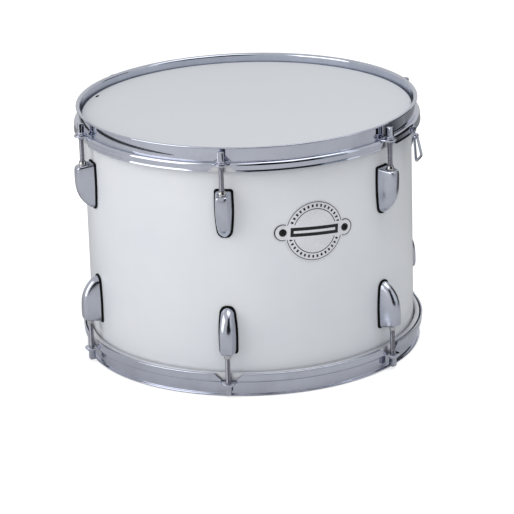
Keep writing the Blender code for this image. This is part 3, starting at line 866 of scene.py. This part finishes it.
gasket_rows = [gasket_row(share, SHELL_RADIUS + 0.0017) for share in GASKET_SHARES]
gasket_rows += [gasket_row(share, SHELL_RADIUS + 0.00005) for share in reversed(GASKET_SHARES)]
cage, loops = woven(gasket_rows, wrap_rows=True, wrap_columns=False)
last = len(loops) - 1
for column in (0, -1):
    for index in range(len(GASKET_SHARES) - 1):
        cage.faces.new((loops[index][column], loops[index + 1][column],
                        loops[last - index - 1][column], loops[last - index][column]))
gasket = softened(from_cage("gasket", cage, 32.0), 0.0004, "gasket")
tell(gasket)

# %% [markdown]
# ## Swivel nuts and tension rods
#
# Inside each casing sits a nut whose cone shows in the open end. It is turned from an outline with
# a flange, which bears on the casing's edge from inside.

# %% Nut
NUT_BORE = 0.0031
nut_outline = [(radius, LUG_OPEN + rise) for radius, rise in (
    (NUT_BORE + 0.0002, 0.0031), (NUT_BORE + 0.0005, 0.0029), (0.0039, 0.0008),
    (0.0041, 0.0002), (0.0041, -0.0018), (0.0057, -0.0020), (0.0057, -0.0048),
    (0.0043, -0.0050), (0.0043, -0.0188), (NUT_BORE, -0.0188), (NUT_BORE, 0.0029))]
nut = turned("nut", nut_outline, 40)
at_rod = at(0, -ROD_CIRCLE, 0)
nut.transform(at_rod)
tell(nut)

# %% [markdown]
# The rod is made with a real thread: a tube in many rows, whose radius rises and falls with its
# height and its angle together, which is exactly what a helix is. It has two smooth rows on top and
# a taper at its tip, as a rolled thread has.

# %% Rod with thread
ROD = 0.0027
PITCH = 0.0010583
THREAD = 0.00042
ROWS_PER_TURN = 7
TAPER_LENGTH = 0.0012
TAPER_DEPTH = 0.0007
rod_top = LEDGE_TOP + 0.0003
rod_tip = LUG_OPEN - 0.0205
thread_top = rod_top - 0.0050
count = int((thread_top - rod_tip) / PITCH * ROWS_PER_TURN)
levels = [rod_top + 0.0012, thread_top + 0.0004]
levels += [thread_top - (thread_top - rod_tip) * i / count for i in range(count + 1)]
rows = []
for number, level in enumerate(levels):
    row = []
    for a in whole_turn(18):
        turns = level / PITCH + a / (2 * pi)
        depth = abs((turns % 1.0) * 2 - 1) if number > 1 else 0.15
        taper = TAPER_DEPTH * (1 - min(1.0, (level - rod_tip) / TAPER_LENGTH))
        row.append(on_circle(ROD - THREAD * depth - taper, a, level))
    rows.append(row)
rod = grid("rod", rows, caps=True, sharp=60.0)
rod.transform(at_rod)
tell(rod)

# %% [markdown]
# The square key head and its flange are made apart and rest on the rod. The flange presses on a
# washer, and the washer on the hoop's ear.

# %% Key head and washer
KEY_HALF = 0.0031
KEY_CORNER = 0.0006
flange_low = rod_top + 0.0011
key_low = flange_low + 0.0016
flange_outline = rounded([(ON_AXIS, key_low), (0.0047, key_low), (0.0047, flange_low),
                          (ON_AXIS, flange_low)], 0.0004, 3)
flange = turned("flange", flange_outline[4:12], 40, closed=False)
key_rows = []
for rise, grow in ((0.0, 0.0002), (0.0004, 0.0), (0.0088, 0.0), (0.0095, -0.0003),
                   (0.0098, -0.0009)):
    middle_of_corner = KEY_HALF + grow - KEY_CORNER
    row = []
    for sx, sy in ((1, -1), (1, 1), (-1, 1), (-1, -1)):
        for x, y in arc((0, 0), KEY_CORNER, 0, 90, 3):
            px, py = (x, y) if sx * sy > 0 else (y, x)
            row.append((sx * (middle_of_corner + px), sy * (middle_of_corner + py),
                        key_low + rise))
    key_rows.append(row)
key = grid("key", key_rows, caps=True, sharp=40.0)
key_head = gathered([(flange, at_rod), (key, at_rod)], "rod_head", sharp=35.0)
washer = turned("washer", rounded(section(0.0062, 0.0030, flange_low, rod_top), 0.00035, 3), 48)
washer.transform(at_rod)
tell(key_head, washer)

# %% [markdown]
# Both ends take six sets of rod, washer, nut, casing and gasket. The numbers run the same way
# round at both ends, so the lower rod 1 stands under the upper rod 1.

# %% Twelve sets
for end, lower in (("top", False), ("bottom", True)):
    for number, angle in enumerate(LUG_ANGLES, 1):
        turner = "%s_rod_%d" % (end, number)
        for name, mesh, finish, body, real, slot in (
                ("rod", rod, rod_plate, turner, "tension_rod", "rod_steel"),
                ("key_head", key_head, head_plate, turner, "tension_rod", "rod_steel"),
                ("washer", washer, head_plate, turner, "tension_rod", "rod_steel"),
                ("nut", nut, nickel, "drum", "swivel_nut", "nut_brass"),
                ("casing", casing, lug_chrome, "drum", "lug_casing", "chrome"),
                ("gasket", gasket, rubber, "drum", "lug_gasket", "gasket")):
            set_down("%s_%s_%d" % (end, name, number), mesh, finish, body,
                     "%s_%s_%d" % (end, real, number), angle, lower)
print("sets down:", 2 * len(LUG_ANGLES))

# %% [markdown]
# ## Badge
#
# The badge is a thin foil plate bent to the shell, with an ear for a screw at each side. It is a
# little crooked, as hand work leaves it. Its printing is plain: two rings, a bar, and a row of even
# marks between the rings. Round the rim of each ear runs a thin dark line of painted shade, which
# is drawn and finished the same way as the ink. Every printed shape is a test on the place in the
# badge's own plane, so a first group unrolls the shell and turns the plane, and a second one draws
# a ring in it.

# %% Badge plane and printed ring
BADGE_HEIGHT = 0.175 - RIM
BADGE_TURN = 3.5
BADGE_ANGLE = 0.5
turn_cos = cos(radians(BADGE_TURN))
turn_sin = sin(radians(BADGE_TURN))

plane, given, put_out = shared_group("Badge Plane", [], ["Across", "Up", "Distance"])
place = node(plane, "ShaderNodeSeparateXYZ", Vector=own_place(plane)).outputs
unrolled = times(maths("ARCSINE", maths("DIVIDE", place["X"], SHELL_RADIUS)), SHELL_RADIUS)
raised = minus(place["Z"], BADGE_HEIGHT)
across = minus(times(unrolled, turn_cos), times(raised, turn_sin))
up = plus(times(unrolled, turn_sin), times(raised, turn_cos))
set_up(put_out, Across=across, Up=up, Distance=distance(across, up))

printed, given, put_out = shared_group(
    "Printed Ring", [("Distance", 0.0), ("Radius", 0.0315), ("Line", 0.0008)], ["Mask"])
off_line = maths("ABSOLUTE", minus(given["Distance"], given["Radius"]))
set_up(put_out, Mask=maths("LESS_THAN", off_line, times(given["Line"], 0.5)))
print("groups", plane.name, printed.name)

# %% [markdown]
# The small marks are cut from a ring by a saw tooth of the angle round the centre, so they are
# evenly spaced. A bar with a slot crosses the middle and breaks the rings. Printing ink is matt, so
# the coat and the shine of the foil are taken away where it lies.

# %% Badge finish
EAR_X = 0.035
foil, shader = new_finish("badge_foil", (0.72, 0.73, 0.77), 0.28, 0.25, Coat_Weight=0.3,
                          Coat_Roughness=0.15)
where = use_group(shader, plane)
from_left = maths("ABSOLUTE", where["Across"])
from_middle = maths("ABSOLUTE", where["Up"])


def ring_mask(radius, line):
    return use_group(shader, printed, Distance=where["Distance"], Radius=radius,
                     Line=line)["Mask"]


def bar_mask(half_width, half_height):
    return times(maths("LESS_THAN", from_left, half_width),
                 maths("LESS_THAN", from_middle, half_height))


tooth = maths("FRACT", times(maths("ARCTAN2", where["Across"], where["Up"]), 36 / (2 * pi)))
teeth = times(maths("LESS_THAN", tooth, 0.45), ring_mask(0.0276, 0.0030))
rings = larger(ring_mask(0.0240, 0.0009), ring_mask(0.0314, 0.0008))
clear_of_bar = minus(1.0, maths("LESS_THAN", from_middle, 0.0078))
bars = times(bar_mask(0.0270, 0.0050), minus(1.0, bar_mask(0.0235, 0.0014)))
# Painted shade: a thin dark line round the rim of each ear, not print, mixed in with the ink below
past_ear = maths("GREATER_THAN", distance(minus(from_left, EAR_X), from_middle), 0.0081)
painted_ear_shade_line = times(past_ear, maths("GREATER_THAN", where["Distance"], 0.0330))
ink_and_painted_shade = larger(times(larger(teeth, rings), clear_of_bar), larger(bars, painted_ear_shade_line))

marks = use_group(shader, handling, Roughness=0.28, Spread=0.15, Smear_Scale=60.0)
base = mixed(marks["Smear"], (0.68, 0.69, 0.75), (0.80, 0.81, 0.85))
clear_of_ink_and_shade = minus(1.0, ink_and_painted_shade)
set_up(shader, Roughness=larger(marks["Roughness"], times(ink_and_painted_shade, 0.6)),
       Base_Color=mixed(ink_and_painted_shade, base, (0.004, 0.004, 0.006)), Metallic=times(clear_of_ink_and_shade, 0.25),
       Coat_Weight=times(clear_of_ink_and_shade, 0.3))
bumped(shader, ink_and_painted_shade, 0.15, 0.0001)
print("finish", foil.name)

# %% [markdown]
# The plate is cut from a thin band round the shell, so it has the shell's curve. Each of its two
# screws has a low domed head with a cross cut into it.

# %% Badge plate and screws
BADGE_INNER = SHELL_RADIUS + 0.0003
BADGE_OUTER = BADGE_INNER + 0.0008
SCREW = 0.0041
band = turned("band", section(BADGE_OUTER, BADGE_INNER, BADGE_HEIGHT + 0.05,
                              BADGE_HEIGHT - 0.05), 480)
blank = pin("blank", 0.0328, 0.1, 96)
for x in (EAR_X, -EAR_X):
    ear_disc = pin("ear_disc", 0.0088, 0.1, 48)
    ear_disc.transform(at(x, 0, 0))
    blank = cut(blank, ear_disc, "UNION", "blank")
blank.transform(facing(-0.18, BADGE_HEIGHT) @ around(-BADGE_TURN))
badge = cut(band, blank, "INTERSECT", "badge", sharp=40.0)
badge = softened(badge, 0.00025, "badge", sharp=40.0)
set_down("badge_plate", badge, foil, "drum", "badge", BADGE_ANGLE)

dome = [(SCREW * sin(radians(a)), 0.0002 + 0.0012 * cos(radians(a)))
        for a in (20, 40, 60, 75, 90)]
head = turned("screw_head", [(ON_AXIS, 0.0014)] + dome + [(SCREW, -0.0006)], 40, closed=False)
for turn in (20, 110):
    tool = prism("slot_bar", oblong(0.0022, 0.00045), 0.003)
    tool.transform(at(0, 0, 0.0019) @ around(turn))
    head = cut(head, tool, "DIFFERENCE", "screw_head", sharp=40.0)
head.transform(facing(-BADGE_OUTER))
ear_turn = degrees(asin(EAR_X * turn_cos / BADGE_OUTER))
for number, sign in ((1, -1), (2, 1)):
    screw = head.copy()
    screw.transform(at(0, 0, BADGE_HEIGHT - sign * EAR_X * turn_sin) @ around(sign * ear_turn))
    set_down("badge_screw_%d" % number, screw, black_steel, "drum", "badge",
             BADGE_ANGLE)
tell(badge, head)

# %% [markdown]
# ## Sling fittings
#
# Two wire rings on the upper hoop carry the whole drum. Each ring is bent from one wire, narrow at
# the top and wide below, and it swings in a small bracket that is bolted to the skirt.

# %% Bracket
BRACKET = 0.0016
plate_back = SKIRT_OUTER + 0.0003
plate_top = LEDGE_TOP - 0.0028
AXIS_RADIUS = plate_back + 0.0030
AXIS_HEIGHT = SKIRT_LOW - 0.0030
plate_points = [(-0.0060, plate_top - 0.002), (-0.0045, plate_top), (0.0045, plate_top),
                (0.0060, plate_top - 0.002), (0.0060, SKIRT_LOW + 0.001),
                (0.0020, SKIRT_LOW - 0.001), (0.0020, AXIS_HEIGHT), (-0.0020, AXIS_HEIGHT),
                (-0.0020, SKIRT_LOW - 0.001), (-0.0060, SKIRT_LOW + 0.001)]
bracket = prism("tab", plate_points, BRACKET)
bracket.transform(facing(-plate_back - BRACKET / 2))
to_hinge = at(0, -AXIS_RADIUS, AXIS_HEIGHT)
for tool, operation in ((pin("barrel", 0.0030, 0.0020), "UNION"),
                        (pin("eye_hole", 0.0018, 0.0040), "DIFFERENCE")):
    tool.transform(to_hinge @ around(90, "Y"))
    bracket = cut(bracket, tool, operation, "bracket")
bracket = softened(bracket, 0.0003, "bracket", sharp=35.0, limit=50.0)
hex_rows = [[(radius * cos(a), radius * sin(a), level) for a in whole_turn(6)]
            for level, radius in ((0.0, 0.0030), (0.0012, 0.0030), (0.0017, 0.0027),
                                  (0.0018, 0.0023))]
bolt = grid("bolt", hex_rows, caps=True, sharp=25.0)
bolt.transform(facing(-plate_back - BRACKET, (SKIRT_LOW + plate_top) / 2 + 0.0006))
tell(bracket, bolt)

# %% [markdown]
# The ring is a loop of wire with four bends. A round section is carried along the loop, square to
# it at every point. The ring hangs with its lower end a little outwards.

# %% Ring
WIRE = 0.0014
RING_BEND = 0.0020
RING_TOP_HALF = 0.0048
RING_LOW_HALF = 0.0098
RING_DROP = 0.0250
RING_LEAN = -8
half_ring = arc((RING_TOP_HALF - RING_BEND, -RING_BEND), RING_BEND, 90, 10, 6)
half_ring += arc((RING_LOW_HALF - RING_BEND, RING_BEND - RING_DROP), RING_BEND, 10, -90, 6)
loop = [Vector((x, 0, level)) for x, level in half_ring]
loop += [Vector((-x, 0, level)) for x, level in reversed(half_ring)]
outward = Vector((0, 1, 0))
rows = []
for index, here in enumerate(loop):
    across = (loop[(index + 1) % len(loop)] - loop[index - 1]).normalized().cross(outward)
    rows.append([here + across * WIRE * cos(a) + outward * WIRE * sin(a) for a in whole_turn(16)])
wire_ring = grid("wire_ring", rows, wrap_rows=True, sharp=60.0)
wire_ring.transform(to_hinge @ around(RING_LEAN, "X"))
for number, angle in ((1, 48.0), (2, 132.0)):
    for name, mesh, finish, body, real in (
            ("plate", bracket, chrome, "top_hoop_set", "bracket"),
            ("bolt", bolt, head_plate, "top_hoop_set", "bracket"),
            ("wire", wire_ring, chrome, "ring_%d" % number, "ring")):
        set_down("sling_%s_%d" % (name, number), mesh, finish, body,
                 "sling_%s_%d" % (real, number), angle)
tell(wire_ring)

# %% [markdown]
# ## Studio
#
# The drum stands on a white sweep under soft light. The light comes mostly from the left, so the
# shell goes from pale at the left to a cool grey at the right. The floor and the sky look white to
# the camera and light the drum only as much as a plain room would. The floor also carries painted
# shade in front on the right and behind on the left, for mirror rays only, which dims the two edges
# of the glossy wrap.

# %% Floor and sky
floor_mesh = prism("floor", oblong(4, 4), 0.02)
floor_mesh.transform(at(0, 0, -0.0105))
floor = add("floor", floor_mesh)
sweep, shader = new_finish("white_sweep", (0.70, 0.70, 0.70), 0.9, Emission_Color=(1, 1, 1))
seen = node(shader, "ShaderNodeLightPath").outputs
direct = larger(seen["Is Camera Ray"], seen["Is Transmission Ray"])
place = node(shader, "ShaderNodeSeparateXYZ", Vector=own_place(shader)).outputs
# Painted shade on the floor, seen only by mirror rays: one dark patch in front on the right, one
# behind on the left
in_front = times(spread(place["Y"], 0.0, 1.0, -0.31, -0.22),
                 spread(place["Y"], 1.0, 0.0, -0.10, 0.50))
in_front = times(in_front, spread(place["X"], 0.0, 1.0, 0.40, 0.60))
behind = times(spread(place["Y"], 0.0, 0.6, 0.06, 0.26),
               spread(place["X"], 0.0, 1.0, -0.44, -0.26))
painted_floor_shade = times(larger(in_front, behind), seen["Is Glossy Ray"])
set_up(shader, Base_Color=mixed(painted_floor_shade, (0.70, 0.70, 0.70), (0.06, 0.06, 0.07)),
       Emission_Strength=times(direct, 0.60))
floor_mesh.materials.append(sweep)

world = bpy.data.worlds.new("studio")
world.use_nodes = True
bpy.context.scene.world = world
sky = world.node_tree.nodes["Background"]
seen = node(sky, "ShaderNodeLightPath").outputs
direct = larger(seen["Is Camera Ray"], seen["Is Transmission Ray"])
set_up(sky, Color=(1.0, 1.0, 1.0),
       Strength=larger(larger(direct, times(seen["Is Glossy Ray"], 0.75)), 0.55))
print("floor and sky ready")

# %% [markdown]
# Chrome shows nothing but its surroundings. So a dark canopy stands behind the camera, which draws
# the black line along the bend of the hoop, a small one stands close by at the right, and thin dark
# strips lie on the floor at the left, where the hoop's wall shows them. To put a strip in the right
# place, a ray is sent from the camera to the wall and mirrored down to the floor. Only mirror rays
# meet any of it.

# %% Dark cloths and strips
def canopy(radius, first, last, high, cut_away=1.0):
    """Part of a dome of cloth, from the floor up, whose first edge can be cut away to a slope."""
    rows = []
    for step in range(17):
        row = []
        for index in range(33):
            full = min(1.0, cut_away + (1 - cut_away) * index / 9)
            row.append(towards(first + (last - first) * index / 32,
                               0.5 + (high * full - 0.5) * step / 16) * radius)
        rows.append(row)
    return grid("canopy", rows, wrap_columns=False)


def mirrored_on_floor(hoop_angle, level_above_ledge):
    """Where the hoop's wall shows the floor to the camera, at one place of the wall."""
    outward = towards(hoop_angle, 0)
    place = outward * WALL_OUTER + Vector((0, 0, RIM + LEDGE_TOP + level_above_ledge))
    ray = (place - eye).normalized()
    ray -= outward * 2 * ray.dot(outward)
    return place + ray * (place.z - 0.002) / -ray.z


def floor_strip(first, last, high, low, bend, half_width):
    """A strip on the floor that shows as a tapering arc in the hoop's wall."""
    rows = [[], []]
    for index in range(25):
        share = index / 24
        level = high + (low - high) * share ** bend
        half = half_width * (1 - share) ** 0.5 + 0.0002
        for row, sign in zip(rows, (1, -1)):
            row.append(mirrored_on_floor(first + (last - first) * share, level + sign * half))
    return grid("floor_strip", rows, wrap_columns=False)


parts = [canopy(3.7, -29, 44, 62, 0.25), canopy(1.0, 76, 106, 35),
         floor_strip(-82, -46, 0.0142, 0.0026, 0.6, 0.0027),
         floor_strip(-99, -83, 0.0110, 0.0020, 1.0, 0.0030)]
curtain_mesh = gathered([(part, Matrix()) for part in parts], "curtain")
curtain = add("curtain", curtain_mesh)
curtain_mesh.materials.append(new_finish("curtain_cloth", (0.012, 0.012, 0.014), 0.9)[0])
curtain.visible_camera = False
curtain.visible_diffuse = False
curtain.visible_shadow = False
tell(curtain_mesh)

# %% [markdown]
# Four soft lamps. The key light is large and comes from the left. The weak one in front is hidden
# from mirror rays, so it leaves no highlight on the chrome.

# %% Lamps
def lamp(name, azimuth, height, distance_m, size, watts, colour=(1, 1, 1)):
    data = bpy.data.lights.new(name, "AREA")
    data.shape = "RECTANGLE"
    data.size, data.size_y = size
    data.energy = watts
    data.color = colour
    item = add(name, data)
    away = towards(azimuth, height)
    item.matrix_world = Matrix.Translation(Vector((0, 0, 0.13)) + away * distance_m) @ (
        away.to_track_quat("Z", "Y").to_matrix().to_4x4())
    return item


lamp("key", -81, 25, 2.4, (1.8, 2.0), 23.8)
lamp("front", -14, 30, 2.6, (1.6, 1.2), 8.0).visible_glossy = False
lamp("overhead", 40, 68, 2.2, (1.6, 1.4), 12.4)
lamp("fill", 40, 22, 2.6, (1.2, 1.4), 2.4, (0.80, 0.90, 1.0))
print("lamps ready")

# %% [markdown]
# Last, the view transform is set to Standard.

# %% View transform
bpy.context.scene.view_settings.view_transform = "Standard"
bpy.context.view_layer.update()
